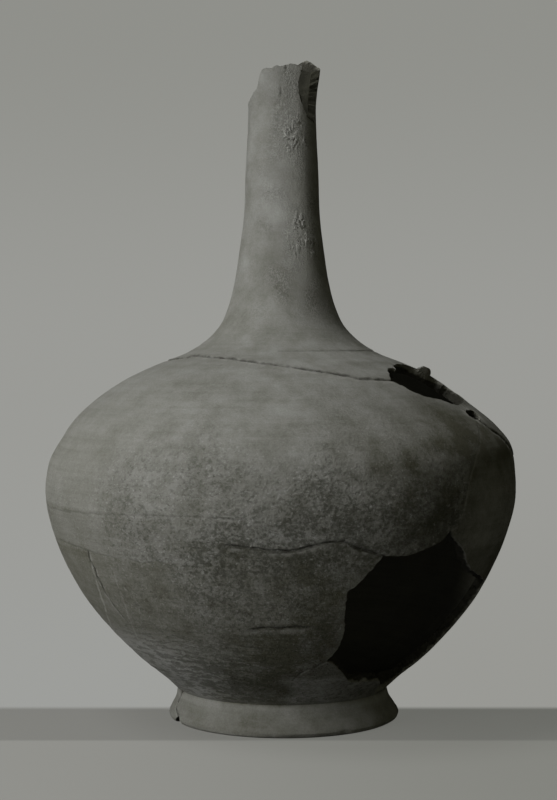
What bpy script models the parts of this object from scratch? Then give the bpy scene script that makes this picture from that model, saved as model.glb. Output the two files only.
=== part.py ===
# Narrow-necked pottery jar: one thrown and fired vessel with a ring foot, a round belly
# and a long thin neck. Its rim is broken away, and the neck, the right shoulder and the
# lower wall have holes where sherds are lost.
# Metres, +Z up. The origin is the centre of the ring that the jar stands on, and the side
# with the large hole faces -Y, with the hole towards +X.

import math

import bmesh
import bpy
import numpy as np
from mathutils import Vector

MM = 0.001

# Driving sizes
CREST_HEIGHT = 337 * MM
WALL = 4.8 * MM
NECK_WALL = 4.2 * MM
FLOOR_TOP = 17.0 * MM
FOOT_RECESS = 9.6 * MM
FOOT_RING_WIDTH = 7.5 * MM
SIDES = 56

# The outer profile as radius and height, in millimetres, from above the broken rim
# down the neck, over the shoulder and belly, to the groove above the foot
NECK_PROFILE = [
    (19.7, 341), (19.6, 330), (18.0, 318.5), (17.4, 311), (17.6, 300), (18.7, 277),
    (19.7, 253), (21.6, 237), (24.1, 221), (27.3, 208.5), (31.5, 199), (38.0, 191.8),
]
BODY_PROFILE = [
    (48.5, 184.9), (61.5, 179.8), (78.2, 172), (95.6, 159.7), (108.7, 147.7),
    (116.3, 135.8), (119.1, 122), (118.9, 109.5), (116.2, 98), (109.5, 80.3),
    (97.9, 60.1), (84.5, 43.8), (70.5, 30), (61.3, 22.6), (53.2, 15.1),
]
FOOT_PROFILE = [(53.2, 15.1), (54.2, 10.5), (57.2, 4.6), (58.1, 2.2), (57.4, 0.7), (56.0, 0)]

# Below this height the inside leaves the outer wall and rounds into the floor
INNER_TURN_HEIGHT = 26 * MM

# Where the thrown wall runs out of true: height, spread and sideways shift in millimetres
LEANS = [(0, 12, 0.6), (85, 45, -0.9), (141, 9, 1.6), (163, 8, -1.0)]

# The broken rim: azimuth in degrees from +X, and the height that is left, in millimetres
BROKEN_RIM = [
    (-172, 312.5), (-157, 313), (-143, 315.5), (-134, 320.5), (-127, 325.5), (-113, 327.5),
    (-96, 328), (-84, 330), (-73, 330), (-62, 328.5), (-40, 329), (-18, 328.5), (-4, 330.5),
    (10, 333.5), (28, 336), (42, 337), (55, 335), (68, 330.5), (92, 326.5), (114, 322.5),
    (136, 318), (160, 314),
]

# Outlines of the lost sherds on the outer wall: azimuth in degrees, height in millimetres.
# The notch runs out over the rim.
NECK_NOTCH = [
    (-59, 345), (-58, 326), (-61, 320), (-60, 313.5), (-51, 307.5), (-40, 302),
    (-24, 301.5), (-9, 303), (-7, 318), (-9, 345),
]
SHOULDER_GAP = [
    (-48, 171.8), (-45.5, 176), (-38, 177.4), (-35.5, 176.6), (-31, 178.4), (-22, 178.6),
    (-19, 176.6), (-5, 177), (2, 173.5), (3, 168), (-1, 163.5), (-8, 160.6), (-18, 159.6),
    (-28, 159.6), (-32, 162), (-37, 163.2), (-42, 165.2), (-45, 168.5),
]
SHOULDER_PINHOLE = [(-27.5, 154.3), (-24, 156.6), (-18.6, 157), (-17.5, 154.4), (-21, 152), (-26, 152.2)]
LARGE_HOLE = [
    (-66.5, 93.2), (-58, 93.8), (-53, 96.3), (-50, 98.8), (-48.4, 102.3), (-46.5, 97.5),
    (-42, 92.5), (-40, 88), (-35.5, 82), (-28, 77.5), (-22, 73.5), (-11, 71), (-12.5, 60),
    (-13.5, 50), (-15, 40), (-17, 30), (-20, 19.5), (-34, 17.6), (-40, 24.2), (-56, 26.7),
    (-63, 28.6), (-69.5, 35.5), (-75.4, 40.8), (-73, 47.5), (-72.2, 56), (-73.8, 75),
    (-71.5, 80.5),
]

# Heights on the axis that the broken faces of each hole run to, square to the wall there
NECK_HUB = 315 * MM
SHOULDER_HUB = 60 * MM
BELLY_HUB = 100 * MM

CLAY_COLOUR = (0.262, 0.254, 0.226, 1.0)
CLAY_ROUGHNESS = 0.9


def clear_scene():
    for obj in list(bpy.data.objects):
        bpy.data.objects.remove(obj, do_unlink=True)


def in_metres(profile):
    return [Vector((radius * MM, height * MM)) for radius, height in profile]


def smooth_path(points, steps):
    """A smooth curve through the points, with so many steps between each two."""
    count = len(points)
    spans = [(points[i + 1] - points[i]).length for i in range(count - 1)]
    slopes = [(points[i + 1] - points[i]) / spans[i] for i in range(count - 1)]
    tangents = [slopes[0]]
    for i in range(1, count - 1):
        blend = spans[i - 1] / (spans[i - 1] + spans[i])
        tangents.append(slopes[i - 1].lerp(slopes[i], blend))
    tangents.append(slopes[-1])
    path = []
    for i in range(count - 1):
        for k in range(steps):
            t = k / steps
            ease = t * t * (3 - 2 * t)
            leave = t * (1 - t) * (1 - t) * spans[i]
            arrive = t * t * (t - 1) * spans[i]
            point = points[i].lerp(points[i + 1], ease)
            path.append(point + tangents[i] * leave + tangents[i + 1] * arrive)
    path.append(points[-1])
    return path


def inset(path, thickness):
    """The path moved square to itself, towards the inside of the vessel."""
    moved = []
    for i, point in enumerate(path):
        along = path[min(i + 1, len(path) - 1)] - path[max(i - 1, 0)]
        along.normalize()
        moved.append(point + Vector((along.y, -along.x)) * thickness)
    return moved


def outer_path(steps=1):
    neck = in_metres(NECK_PROFILE)
    body = in_metres(BODY_PROFILE)
    whole = smooth_path(neck + body, 2 * steps)
    crowded = 2 * steps * (len(neck) - 1)
    return whole[:crowded:2] + whole[crowded:]


def inner_path():
    whole = smooth_path(in_metres(NECK_PROFILE + BODY_PROFILE), 1)
    neck = inset(whole, NECK_WALL)[:len(NECK_PROFILE)]
    body = inset(whole, WALL)[len(NECK_PROFILE):]
    wall = neck[::2] + [point for point in body if point.y > INNER_TURN_HEIGHT]
    low = wall[-1]
    floor = [
        low,
        Vector((0.82 * low.x, 0.7 * low.y + 0.3 * FLOOR_TOP)),
        Vector((0.6 * low.x, FLOOR_TOP + 1.2 * MM)),
        Vector((0.3 * low.x, FLOOR_TOP)),
        Vector((0.0, FLOOR_TOP)),
    ]
    return wall[:-1] + floor


def foot_path():
    """The foot's flare, its flat resting ring and the recess inside the ring."""
    flare = smooth_path(in_metres(FOOT_PROFILE), 1)
    ring_edge = flare[-1].x - FOOT_RING_WIDTH
    recess = [
        Vector((ring_edge, 0.0)),
        Vector((ring_edge - 2 * MM, 1.5 * MM)),
        Vector((ring_edge - 5 * MM, 0.75 * FOOT_RECESS)),
        Vector((ring_edge - 10 * MM, FOOT_RECESS)),
        Vector((0.0, FOOT_RECESS + 0.4 * MM)),
    ]
    return flare + recess


def wall_section():
    """Half of the jar cut through its axis, from the inside floor round to the underside."""
    return inner_path()[::-1] + outer_path() + foot_path()[1:]


def lean(height):
    """How far the axis stands off true at a height."""
    shift = 0.0
    for centre, spread, most in LEANS:
        shift += most * MM * math.exp(-((height - centre * MM) / (spread * MM)) ** 2)
    return shift


def wall_point(azimuth, height):
    """A point on the outer wall, by its azimuth in degrees and its height in millimetres."""
    path = outer_path(2)
    heights = [point.y for point in reversed(path)]
    radii = [point.x for point in reversed(path)]
    radius = float(np.interp(height * MM, heights, radii))
    angle = math.radians(azimuth)
    x = radius * math.cos(angle) + lean(height * MM)
    return Vector((x, radius * math.sin(angle), height * MM))


def make_object(name, bm):
    mesh = bpy.data.meshes.new(name)
    bmesh.ops.recalc_face_normals(bm, faces=bm.faces)
    bm.to_mesh(mesh)
    bm.free()
    obj = bpy.data.objects.new(name, mesh)
    bpy.context.scene.collection.objects.link(obj)
    return obj


def turned_wall(name):
    """The whole vessel, turned from its section, before anything broke off it."""
    bm = bmesh.new()
    verts = [bm.verts.new((point.x, 0.0, point.y)) for point in wall_section()]
    edges = [bm.edges.new(pair) for pair in zip(verts, verts[1:])]
    bmesh.ops.spin(
        bm, geom=verts + edges, cent=(0, 0, 0), axis=(0, 0, 1),
        angle=2 * math.pi, steps=SIDES, use_merge=True, use_duplicate=False,
    )
    bmesh.ops.remove_doubles(bm, verts=bm.verts, dist=0.01 * MM)
    for vert in bm.verts:
        vert.co.x += lean(vert.co.z)
    return make_object(name, bm)


def as_cutter(obj):
    obj.hide_render = True
    obj.display_type = "WIRE"
    return obj


def lost_sherd(name, outline, hub_height, near, far):
    """A cutter whose sides run out from a point on the axis through an outline on the wall."""
    hub = Vector((0.0, 0.0, hub_height))
    edge = [wall_point(azimuth, height) for azimuth, height in outline]
    azimuths = [azimuth for azimuth, height in outline]
    heights = [height for azimuth, height in outline]
    middle = wall_point(
        (min(azimuths) + max(azimuths)) / 2, (min(heights) + max(heights)) / 2
    )
    bm = bmesh.new()
    rings = []
    for scale in (near, far):
        rings.append([bm.verts.new(hub + (point - hub) * scale) for point in edge])
        centre = bm.verts.new(hub + (middle - hub) * scale)
        for vert, following in zip(rings[-1], rings[-1][1:] + rings[-1][:1]):
            bm.faces.new((centre, vert, following))
    bmesh.ops.bridge_loops(bm, edges=[edge for edge in bm.edges if edge.is_boundary])
    return as_cutter(make_object(name, bm))


def rim_break(name):
    """A cutter that takes off everything above the broken rim."""
    inside = 6 * MM
    outside = 32 * MM
    tilt = 1.2 * MM
    top = CREST_HEIGHT + 20 * MM
    bm = bmesh.new()
    hub = bm.verts.new((0, 0, CREST_HEIGHT - 10 * MM))
    roof = bm.verts.new((0, 0, top))
    rings = []
    for reach in (inside, outside, None):
        ring = []
        for i, (azimuth, height) in enumerate(BROKEN_RIM):
            angle = math.radians(azimuth)
            slope = tilt * math.sin(2.3 * i) * (1 if reach == inside else -1)
            radius = outside if reach is None else reach
            z = top if reach is None else height * MM + slope
            ring.append(bm.verts.new((radius * math.cos(angle), radius * math.sin(angle), z)))
        rings.append(ring)
    for ring, centre in ((rings[0], hub), (rings[2], roof)):
        for vert, following in zip(ring, ring[1:] + ring[:1]):
            bm.faces.new((centre, vert, following))
    for low, high in zip(rings, rings[1:]):
        for i in range(len(low)):
            k = (i + 1) % len(low)
            bm.faces.new((low[i], low[k], high[k], high[i]))
    return as_cutter(make_object(name, bm))


def clay():
    material = bpy.data.materials.new("fired_clay")
    material.use_nodes = True
    shader = material.node_tree.nodes["Principled BSDF"]
    shader.inputs["Base Color"].default_value = CLAY_COLOUR
    shader.inputs["Roughness"].default_value = CLAY_ROUGHNESS
    shader.inputs["Metallic"].default_value = 0.0
    return material


def break_away(obj, cutter):
    cut = obj.modifiers.new(cutter.name, "BOOLEAN")
    cut.operation = "DIFFERENCE"
    cut.solver = "EXACT"
    cut.object = cutter


def main():
    clear_scene()
    jar = turned_wall("jar")
    jar.data.shade_smooth()
    jar.data.set_sharp_from_angle(angle=math.radians(35))
    jar.data.materials.append(clay())
    cutters = [
        rim_break("broken_rim"),
        lost_sherd("neck_notch", NECK_NOTCH, NECK_HUB, 0.45, 1.8),
        lost_sherd("shoulder_gap", SHOULDER_GAP, SHOULDER_HUB, 0.85, 1.18),
        lost_sherd("shoulder_pinhole", SHOULDER_PINHOLE, SHOULDER_HUB, 0.88, 1.12),
        lost_sherd("large_hole", LARGE_HOLE, BELLY_HUB, 0.8, 1.3),
    ]
    for cutter in cutters:
        break_away(jar, cutter)


main()
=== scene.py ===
import math

import bmesh
import bpy
import numpy as np
from bpy.props import FloatProperty, FloatVectorProperty, PointerProperty
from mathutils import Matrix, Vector, noise


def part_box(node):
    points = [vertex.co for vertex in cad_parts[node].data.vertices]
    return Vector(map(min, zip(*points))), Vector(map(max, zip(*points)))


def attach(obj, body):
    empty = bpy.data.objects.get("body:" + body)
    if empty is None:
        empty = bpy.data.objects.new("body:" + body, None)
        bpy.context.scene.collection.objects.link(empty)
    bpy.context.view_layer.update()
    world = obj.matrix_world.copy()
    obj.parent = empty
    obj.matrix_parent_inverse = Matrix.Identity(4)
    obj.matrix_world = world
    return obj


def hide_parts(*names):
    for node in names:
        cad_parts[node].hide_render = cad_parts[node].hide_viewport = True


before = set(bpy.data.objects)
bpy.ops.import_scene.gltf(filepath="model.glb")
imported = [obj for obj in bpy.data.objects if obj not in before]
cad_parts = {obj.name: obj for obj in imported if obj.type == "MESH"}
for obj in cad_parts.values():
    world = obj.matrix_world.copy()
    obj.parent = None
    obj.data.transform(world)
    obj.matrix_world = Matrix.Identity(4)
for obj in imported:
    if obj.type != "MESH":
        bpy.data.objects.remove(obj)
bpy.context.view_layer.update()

bl_info = {
    "name": "Narrow-necked pottery jar",
    "version": (1, 0, 0),
    "blender": (4, 5, 0),
    "location": "View3D > Sidebar > Jar",
    "description": "Turns, breaks and weathers a narrow-necked pottery jar",
    "category": "Add Mesh",
}

MM = 0.001
JAR_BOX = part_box("jar")

# The vessel's outer profile as radius and height in millimetres, top to bottom
PROFILE = [
    (19.7, 341), (19.6, 330), (18.0, 318.5), (17.4, 311), (17.6, 300), (18.7, 277),
    (19.7, 253), (21.6, 237), (24.1, 221), (27.3, 208.5), (31.5, 199), (38.0, 191.8),
    (48.5, 184.9), (61.5, 179.8), (78.2, 172), (95.6, 159.7), (108.7, 147.7),
    (116.3, 135.8), (119.1, 122), (118.9, 109.5), (116.2, 98), (109.5, 80.3),
    (97.9, 60.1), (84.5, 43.8), (70.5, 30), (61.3, 22.6), (53.2, 15.1),
]
FOOT_PROFILE = [(53.2, 15.1), (54.2, 10.5), (57.4, 4.6), (58.5, 2.2), (57.9, 0.7), (56.6, 0)]
# How many of the profile's points belong to the neck, and how many sides the turned walls have
NECK_POINTS = 12
OUTER_SIDES, INNER_SIDES = 240, 120

# Below this height the inside leaves the outer wall and rounds into the floor
INNER_TURN_HEIGHT = 26 * MM

# Where the thrown wall runs out of true: height, spread and sideways shift in millimetres
LEANS = [(0, 12, 1.1), (85, 45, -0.9), (141, 9, 1.6), (163, 8, -1.0)]

# The broken rim: azimuth in degrees from +X, and the height that is left, in millimetres
BROKEN_RIM = [
    (-180, 311.8), (-170, 312.4), (-161, 313), (-151, 315), (-143, 317), (-136, 318.6),
    (-132, 320), (-129.5, 323.6), (-125, 325.8), (-119, 327.3), (-111, 327.8), (-102, 328),
    (-94, 328.2), (-88, 328.6), (-83, 329.6), (-76.6, 330.3), (-71, 329.3), (-66, 329.2),
    (-60, 330.2), (-52, 330), (-40, 329.6), (-24, 329.2), (-10, 329.4), (0, 329.6),
    (10, 330.4), (20, 331.8), (31, 334), (41, 335.8), (49.5, 336.9), (55, 336.8), (61.5, 335.4),
    (68, 332.6), (76, 330.4), (84, 328.2), (96, 326.4), (106, 324.6), (114, 322.8),
    (126, 320), (136, 318.2), (148, 315.4), (160, 313.4), (172, 312.2),
]

# Outlines of the lost sherds on the outer wall: azimuth in degrees, height in millimetres
NECK_NOTCH = [
    (-57, 345), (-58, 330), (-59.5, 326.4), (-62.4, 323.6), (-64, 320), (-62.8, 316),
    (-58.6, 313), (-55.3, 310.2), (-51.2, 307.8), (-45.6, 305.4), (-41.8, 303.4), (-36, 302.4),
    (-24, 302), (-10, 303), (-6, 306), (-5, 312), (-5, 320), (-7, 329), (-8, 345),
]
SHOULDER_GAP = [
    (-48.5, 171.6), (-47.2, 173.2), (-44, 175.6), (-41.6, 177), (-38, 177.4), (-35.8, 176.8),
    (-33.6, 178.2), (-29, 179), (-23.6, 179.2), (-17.4, 179), (-12, 178.4), (-9.4, 177.2),
    (-7.6, 175.8), (-6.4, 174.4), (-3.6, 173.4), (0.6, 173.2), (3.2, 172), (3.8, 170.4),
    (2.4, 168.6), (3.4, 166.8), (1.6, 164.4), (-1.6, 162.8), (-5.4, 161.4), (-11.5, 160.6),
    (-17, 160.2), (-22, 159.7), (-26, 159.2), (-29, 159.9), (-31.2, 161.2), (-34.4, 162.3),
    (-37.2, 163.1), (-40.2, 163.9), (-42.2, 165.1), (-43.8, 166.4), (-45, 168), (-46.8, 169.6),
]
SHOULDER_PINHOLE = [
    (-27.4, 154.2), (-26.4, 156), (-23.5, 156.9), (-20.4, 156.7), (-18.2, 156.2),
    (-18.4, 154.4), (-20.8, 152.8), (-24, 151.9), (-26.4, 152.6),
]
LARGE_HOLE = [
    (-66.3, 93.2), (-63, 92.7), (-60, 92.6), (-57.6, 93.5), (-54.9, 95), (-53, 96.2),
    (-50.8, 98), (-49.5, 99.7), (-48.7, 100.8), (-48, 103.2), (-47, 100), (-45.8, 98),
    (-44.5, 97), (-42.4, 94.1), (-40.5, 91.3), (-38.8, 87.1), (-36.5, 84.3), (-33.7, 81.2),
    (-30.3, 79), (-26.2, 76.9), (-23, 75.2), (-20, 73.6), (-16, 72.2), (-11, 71), (-11.5, 66),
    (-12.3, 60), (-13.5, 50), (-15, 40), (-17, 30), (-19, 22), (-21, 18.6), (-25, 17.6),
    (-33.8, 17.4), (-36, 19.6), (-38.6, 22.8), (-42, 24.8), (-50, 26.2), (-56, 26.7),
    (-61.6, 27.6), (-65.2, 30.8), (-69, 35.2), (-72, 38.6), (-75.4, 40.8), (-74, 43.8),
    (-72.8, 47.6), (-72.4, 50.4), (-72.2, 54), (-72.8, 60), (-73.4, 68), (-73.8, 75.4),
    (-73.2, 77.6), (-71.8, 79.3), (-70.6, 82), (-69.2, 85.6), (-67.8, 88.6), (-66.8, 91.4),
]
NECK_HUB = 315 * MM
SHOULDER_HUB = 60 * MM
BELLY_HUB = 100 * MM

# Cracks and joints on the outer wall: name, half width and depth in millimetres, how far the
# upper side stands proud, dark or pale, and the route as azimuth and height
CRACKS = [
    ("shoulder joint", 0.65, 0.9, 0.45, 1.0, [
        (-48.5, 171.8), (-51.2, 172.0), (-55.9, 172.3), (-61.5, 172.6), (-64.6, 173.6),
        (-72.0, 175.4), (-78.2, 176.5), (-84.8, 177.8), (-88.7, 178.5), (-100.2, 180.0),
        (-108.9, 181.1), (-117.8, 182.1), (-129.3, 182.7), (-140, 183.2), (-149, 183.3),
        (-157, 182.2), (-168, 181.4), (-185, 180.6), (-205, 180.2), (-228, 178.8),
        (-250, 179.4), (-275, 178), (-300, 178.9), (-330, 178.2), (-350, 176.4), (-361, 174.2),
    ]),
    ("belly joint left", 0.3, 0.22, 0.1, 0.4, [
        (-210, 88.5), (-190, 91), (-172, 92.4), (-163.3, 92.8), (-157.3, 93.3), (-149.7, 92.6),
        (-142.8, 91.5), (-137.6, 90.5), (-133.0, 89.7), (-128.2, 89.7), (-124.7, 88.8),
        (-119.4, 89.7),
    ]),
    ("belly joint middle", 0.25, 0.12, 0.05, 0.15, [
        (-119.4, 89.7), (-114, 89.4), (-108.0, 88.9), (-105.3, 92.4), (-103.1, 94.8),
        (-101.8, 98.7),
    ]),
    ("belly joint right", 0.55, 0.9, 0.3, 1.15, [
        (-101.8, 98.9), (-99.4, 98.1), (-96.3, 97.7), (-92.8, 96.7), (-88.3, 96.1),
        (-86.1, 96.7), (-83.5, 98.3), (-79.6, 99.9), (-76.7, 100.6), (-75.0, 99.5),
        (-72.1, 96.8), (-68.5, 94.6), (-66.3, 93.3),
    ]),
    ("sherd edge dark", 0.42, 0.4, 0.15, 0.9, [
        (-142.8, 91.4), (-143.2, 86.5), (-142.6, 82.7), (-143.0, 77.6), (-142.6, 70.1),
        (-141.6, 64.4), (-140.7, 59.3),
    ]),
    ("sherd edge pale", 0.3, 0.25, 0.2, -0.5, [
        (-143.0, 87), (-144.3, 77.4), (-146.0, 70.0), (-148.3, 62.4), (-154.3, 53.7),
        (-160, 48), (-168, 42),
    ]),
    ("sherd edge fine", 0.22, 0.2, 0.1, -0.38, [
        (-135.0, 84), (-135.2, 78.2), (-135.4, 72.2), (-136.2, 65.6), (-138.8, 55.4),
        (-142.5, 45.5),
    ]),
    ("hole corner crack", 0.35, 0.4, 0.1, 0.8, [
        (-75.4, 40.8), (-77.4, 39.6), (-78.5, 37.9), (-80.5, 37.2), (-83.7, 34.4),
        (-85.8, 30.5),
    ]),
    ("hole to shoulder joint", 0.36, 0.22, 0.1, -0.48, [
        (-48.2, 102.3), (-45.6, 104.5), (-44.6, 111.7), (-42.6, 125.4), (-39.0, 136.7),
        (-34.4, 143.3), (-28, 150),
    ]),
    ("pinhole crack", 0.85, 1.2, 0.4, 1.1, [
        (-24, 151.9), (-22.6, 149.8), (-21.3, 147.2), (-18.2, 144.6), (-15.6, 140.2),
        (-11.4, 136.0), (-5, 132), (6, 128.5), (20, 124),
    ]),
    ("bridge crack", 0.45, 0.6, 0.1, 0.9, [(-20, 159.8), (-21.5, 158.2), (-22.4, 156.8)]),
    ("foot crack", 0.45, 0.7, 0.3, 1.0, [
        (-158.3, 16.8), (-163, 11.5), (-164.2, 8.4), (-162.6, 6.6), (-158.7, 5.3), (-155.2, 4.0),
    ]),
    ("turning edge", 0.35, 0.16, 0.12, 0.3, [
        (-165, 108.6), (-147, 109.2), (-134, 110.1), (-122, 111.1), (-107, 111.6), (-98, 110.6),
    ]),
    ("long gouge", 0.7, 1.3, 1.2, 1.0, [
        (-97.2, 58.8), (-93.5, 59.6), (-90.5, 59.3), (-86.5, 59.9), (-82.6, 59.7),
    ]),
    ("short gouge", 0.5, 0.35, 0.3, 0.2, [(-105.4, 49.9), (-100.4, 49.1), (-94.4, 48.2)]),
    ("tool line", 0.4, 0.3, 0.2, 0.4, [
        (-92, 185.6), (-71.6, 185.8), (-49.1, 185.9), (-12, 185.7), (20, 185.5), (60, 185.3),
    ]),
]

# Chips and scars: azimuth, height, half width, half height and depth in millimetres
SCARS = [
    (-166, 105.5, 4.5, 5.2, 1.0), (-131, 66.6, 3.6, 1.6, 0.8), (-124, 62.8, 2.6, 1.2, 0.7),
    (-152, 182.8, 6.0, 1.1, 0.6), (-139, 183.2, 5.0, 0.8, 0.4),
    (-91.5, 315.0, 0.8, 1.5, 0.5), (-84, 327, 1.2, 1.2, 0.4), (-104, 326.6, 1.4, 0.9, 0.4),
    (-58.5, 115.5, 2.2, 0.9, 0.5), (-103, 84.5, 1.6, 0.9, 0.5), (-94.5, 88.2, 2.0, 0.8, 0.5),
    (-110.5, 74.8, 1.8, 0.9, 0.5), (-117, 54.2, 2.6, 0.9, 0.6), (-99.5, 66.4, 2.0, 1.0, 0.5),
    (-87.5, 72.6, 2.2, 0.9, 0.4), (-81, 52.6, 2.0, 0.9, 0.4), (-22, 45.5, 1.4, 2.0, 0.6),
    (75, 96, 5.0, 3.0, 0.8), (128, 141, 4.0, 2.4, 0.6), (150, 60, 5.0, 2.2, 0.7),
    (38, 66, 3.6, 2.0, 0.6), (102, 38, 4.2, 2.0, 0.7), (20, 2.6, 4.0, 2.6, 1.4),
    (112, 2.2, 5.0, 2.4, 1.2), (-60, 1.6, 2.4, 1.4, 0.7),
]

# The chip out of the foot's edge: azimuth, height and half width in millimetres, depth
FOOT_CHIP = (-156.4, 4.2, 5.0, 5.0)

# Inside chip of the crest: azimuth, spread in degrees, depth in millimetres
CREST_CHIP = (47, 34, 6.0)

# Lime crust left on the neck: azimuth, height, half width, half height in millimetres
CRUSTS = [
    (-68, 301.5, 4.2, 4.0), (-72, 294.5, 5.0, 4.2), (-62, 290.5, 5.2, 4.6), (-79, 289, 3.2, 2.2),
    (-63, 250, 3.6, 4.0), (-60, 242.5, 4.6, 4.2), (-44, 238.5, 5.4, 4.4), (-73, 236.5, 4.0, 2.6),
]
# Dark stains: azimuth, height, half width and half height in millimetres, strength
STAINS = [
    (-86, 322, 4.5, 7.5, 0.22), (-84, 313, 1.6, 3.5, 0.3), (-66, 268, 4, 18, 0.35),
    (-80, 114, 26, 9, 0.22), (-53, 112, 22, 14, 1.1), (-65, 135, 20, 11, 0.75),
    (-42, 146, 24, 13, 1.1), (-94, 40, 24, 17, 0.6), (-82, 72, 20, 16, 0.26),
    (-26, 138, 20, 12, 0.95), (-44, 127, 14, 10, 0.45), (-88, 86, 16, 7, 0.3),
    (-82, 53, 16, 10, 0.25), (-77, 66, 10, 13, 0.25),
    (-148, 200, 14, 18, 0.35), (-93, 158, 24, 15, -0.12), (-100, 258, 10, 17, -0.25),
    (-84, 221, 14, 10, 0.32),
    (60, 120, 40, 30, 0.3), (120, 70, 34, 22, 0.35),
    (165, 150, 30, 16, 0.2), (20, 60, 26, 20, 0.3), (95, 250, 10, 30, 0.25),
]
# Areas paler than the clay around: azimuth and height from and to, softness, how much paler
PALE_AREAS = [((-86, 15.4), (-30, 31), 1, 0.95), ((-164, 17), (-124, 46), 4, 0.4)]

# Colours the stage glows with for the camera, left and right, the left lighter as painted light
# from the lamps there: board, its front, the paper behind; and the paper above, low and high, and
# the room's own light
BOARD = ((0.153, 0.153, 0.141), (0.137, 0.139, 0.126))
FRONT = ((0.215, 0.215, 0.199), (0.182, 0.184, 0.166))
PAPER = ((0.338, 0.342, 0.327), (0.312, 0.312, 0.292))
SKY = ((0.325, 0.326, 0.308, 1), (0.277, 0.279, 0.258, 1))
ROOM = (0.026, 0.026, 0.017, 1)

# Pale clay for the pale joints, the pinhole's rim and the neck's right front, and for the painted
# highlights below the dark cracks; the inside at its darkest, which also paints the shade on the
# neck's far inside; the soil in the pits; and the dark core of the broken clay, which also paints
# the shade at the shoulder gap's right end
PALE_AND_HIGHLIGHT = (0.5, 0.5, 0.465, 1)
INSIDE_DARK = (0.024, 0.024, 0.017, 1)
SOIL = (0.045, 0.046, 0.031, 1)
CORE_AND_SHADE = (0.024, 0.023, 0.016, 1)
WOOD = (0.1, 0.1, 0.096, 1)

# Where the camera stands, its lens in millimetres, and how far its frame is shifted down
CAMERA_PLACE = (-0.0018, -0.875, 0.1837)
CAMERA_LENS = 76.86
CAMERA_SHIFT = -0.05625

# Soft lights: azimuth and elevation from their aim, distance and width in metres, watts,
# colour and aim
WHITE, WARM = (1, 1, 1), (1.0, 0.97, 0.7)
BODY, HOLLOW, BASE = (0, 0, 0.15), (0.01, 0, 0.12), (0, 0, 0.06)
LIGHTS = [
    ("side light", -137, 20, 1.5, 0.9, 9.8, WHITE, BODY),
    ("high light", -143, 62, 1.5, 0.6, 8.2, WHITE, BODY),
    ("right fill", -40, 5, 1.5, 0.7, 0.44, WARM, BODY),
    ("front fill", -84, 4, 1.5, 0.5, 0.2, WARM, BODY),
    ("inside bounce", -120, -40, 0.06, 0.04, 0.006, WHITE, HOLLOW),
    ("left bounce", -170, -6.6, 0.347, 0.22, 0.28, WHITE, BASE),
    ("front bounce", -125.5, -6.6, 0.347, 0.22, 0.12, WHITE, BASE),
]

# The neck sherd's tip beside the shoulder gap stands proud of the wall
SHERD_TIP = (-4, 174.9, 3.9, 2.7)


def fade(value, start, end):
    """0 up to the start, 1 from the end on, and an even slope between them."""
    return np.clip((value - start) / (end - start), 0, 1)


def hump(value, middle, spread):
    """1 at the middle, falling away to nothing on both sides."""
    return np.exp(-(((value - middle) / spread) ** 2))


def smooth_path(points, spacing):
    """A smooth curve through the points, cut into even steps of about the spacing."""
    points = [Vector((radius * MM, height * MM)) for radius, height in points]
    spans = [(b - a).length for a, b in zip(points, points[1:])]
    slopes = [(b - a) / span for a, b, span in zip(points, points[1:], spans)]
    tangents = [slopes[0]]
    for i in range(1, len(points) - 1):
        blend = spans[i - 1] / (spans[i - 1] + spans[i])
        tangents.append(slopes[i - 1].lerp(slopes[i], blend))
    tangents.append(slopes[-1])
    path = [points[0]]
    for i, span in enumerate(spans):
        steps = max(1, round(span / spacing))
        for k in range(1, steps + 1):
            t = k / steps
            point = points[i].lerp(points[i + 1], t * t * (3 - 2 * t))
            leave = tangents[i] * (t * (1 - t) * (1 - t) * span)
            arrive = tangents[i + 1] * (t * t * (t - 1) * span)
            path.append(point + leave + arrive)
    return path


OUTER = smooth_path(PROFILE + FOOT_PROFILE[1:], 1.0 * MM)
OUTER_HEIGHTS = np.array([point.y for point in reversed(OUTER)])
OUTER_RADII = np.array([point.x for point in reversed(OUTER)])


def lean(height):
    """How far the axis stands off true at a height in metres."""
    return sum(most * MM * hump(height, centre * MM, spread * MM) for centre, spread, most in LEANS)


def on_wall(azimuth, height):
    """Points on the outer wall, by azimuth in degrees and height in millimetres."""
    azimuth, height = np.radians(azimuth), np.asarray(height) * MM
    radius = np.interp(height, OUTER_HEIGHTS, OUTER_RADII)
    across = radius * np.cos(azimuth) + lean(height)
    return np.stack([across, radius * np.sin(azimuth), height], axis=-1)


def wall_at(height):
    """The outer wall's radius at heights in metres, and how fast it widens upwards."""
    slope = np.gradient(OUTER_RADII, OUTER_HEIGHTS)
    return np.interp(height, OUTER_HEIGHTS, OUTER_RADII), np.interp(height, OUTER_HEIGHTS, slope)


def depth_in_wall(points):
    """How deep each point lies under the outer skin, square to it, and the wall's slope there."""
    radius, slope = wall_at(points[:, 2])
    across = np.hypot(points[:, 0] - lean(points[:, 2]), points[:, 1])
    return (radius - across) / np.sqrt(1 + slope**2), slope


def read_points(mesh, what="co"):
    """A mesh's points, or their normals, as rows of three numbers."""
    numbers = np.zeros(len(mesh.vertices) * 3)
    mesh.vertices.foreach_get(what, numbers)
    return numbers.reshape(-1, 3)


def along_route(route, spacing=1.2 * MM, closed=False):
    """Evenly spaced points on the wall along a route of azimuths and heights."""
    route = np.array(route + route[:1] if closed else route, float)
    corners = on_wall(route[:, 0], route[:, 1])
    lengths = np.linalg.norm(np.diff(corners, axis=0), axis=1)
    travel = np.concatenate([[0], np.cumsum(lengths)])
    steps = max(2, int(travel[-1] / spacing))
    at = np.linspace(0, travel[-1], steps + 1)
    points = on_wall(np.interp(at, travel, route[:, 0]), np.interp(at, travel, route[:, 1]))
    return points[:-1] if closed else points


def wander(points, size, scale, seed):
    """The points moved about by smooth noise."""
    moved = []
    for point in points:
        place = Vector(point) / scale + Vector((seed, 1.7 * seed, 0.3))
        moved.append(np.array(point) + size * np.array(noise.noise_vector(place)))
    return np.array(moved)


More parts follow.
